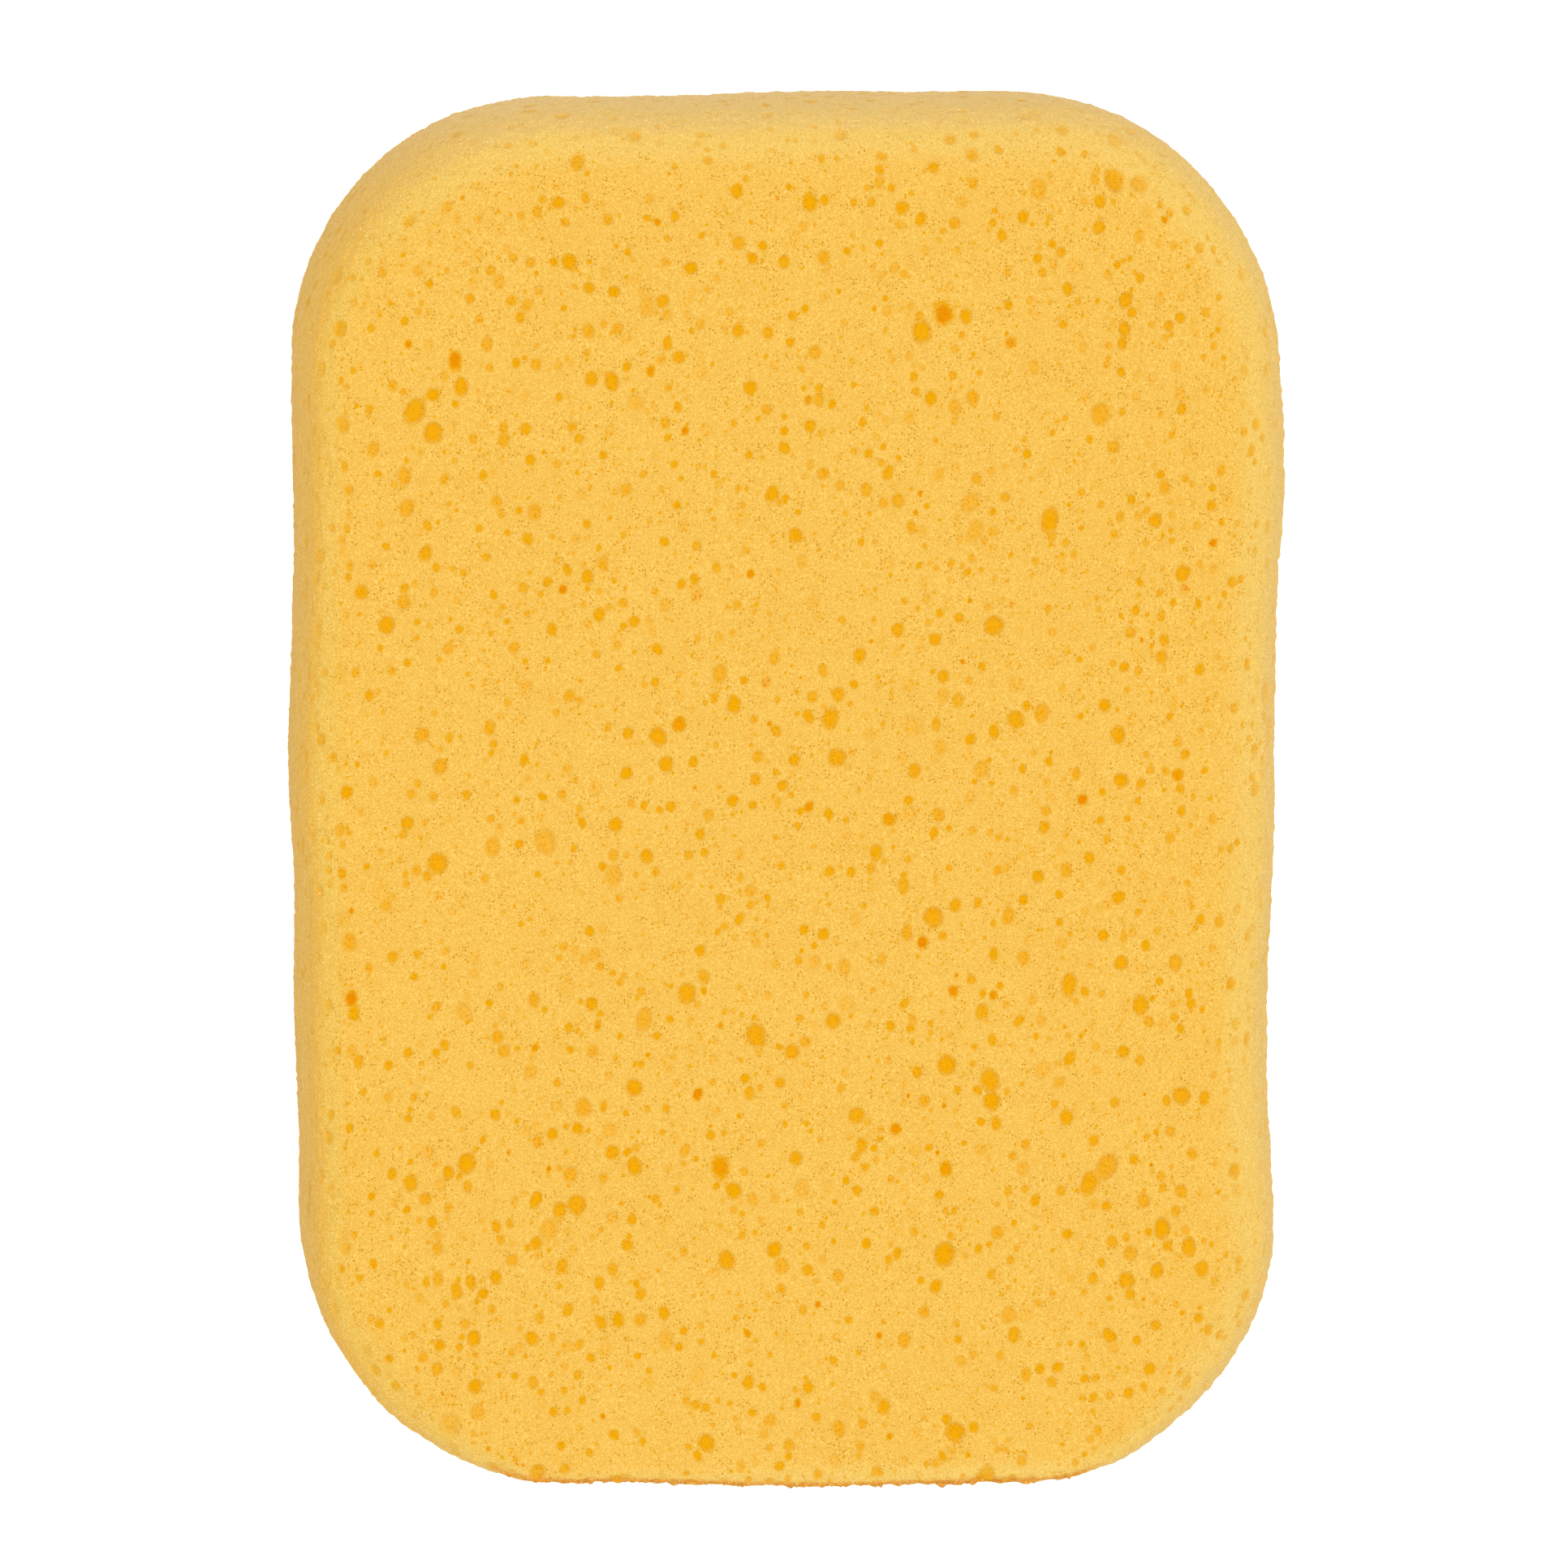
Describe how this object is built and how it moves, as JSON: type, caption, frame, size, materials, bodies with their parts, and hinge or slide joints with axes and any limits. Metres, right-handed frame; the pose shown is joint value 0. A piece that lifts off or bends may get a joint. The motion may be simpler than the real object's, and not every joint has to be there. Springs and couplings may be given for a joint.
{
  "type": "grout sponge",
  "caption": "Rectangular block of open-cell hydrophilic foam with rounded corners and rims, held by hand to wipe grout off tile.",
  "frame": {"origin": "centre of the broad face that the block lies on", "axes": "+X across the width, +Y along the length, +Z through the thickness, away from the surface that it lies on"},
  "size_m": [0.134, 0.1906, 0.051],
  "materials": {
    "foam": "matt open-cell foam, warm yellow, amber inside the open pores"
  },
  "bodies": {
    "root": {"foam_block": "foam"}
  },
  "joints": []
}
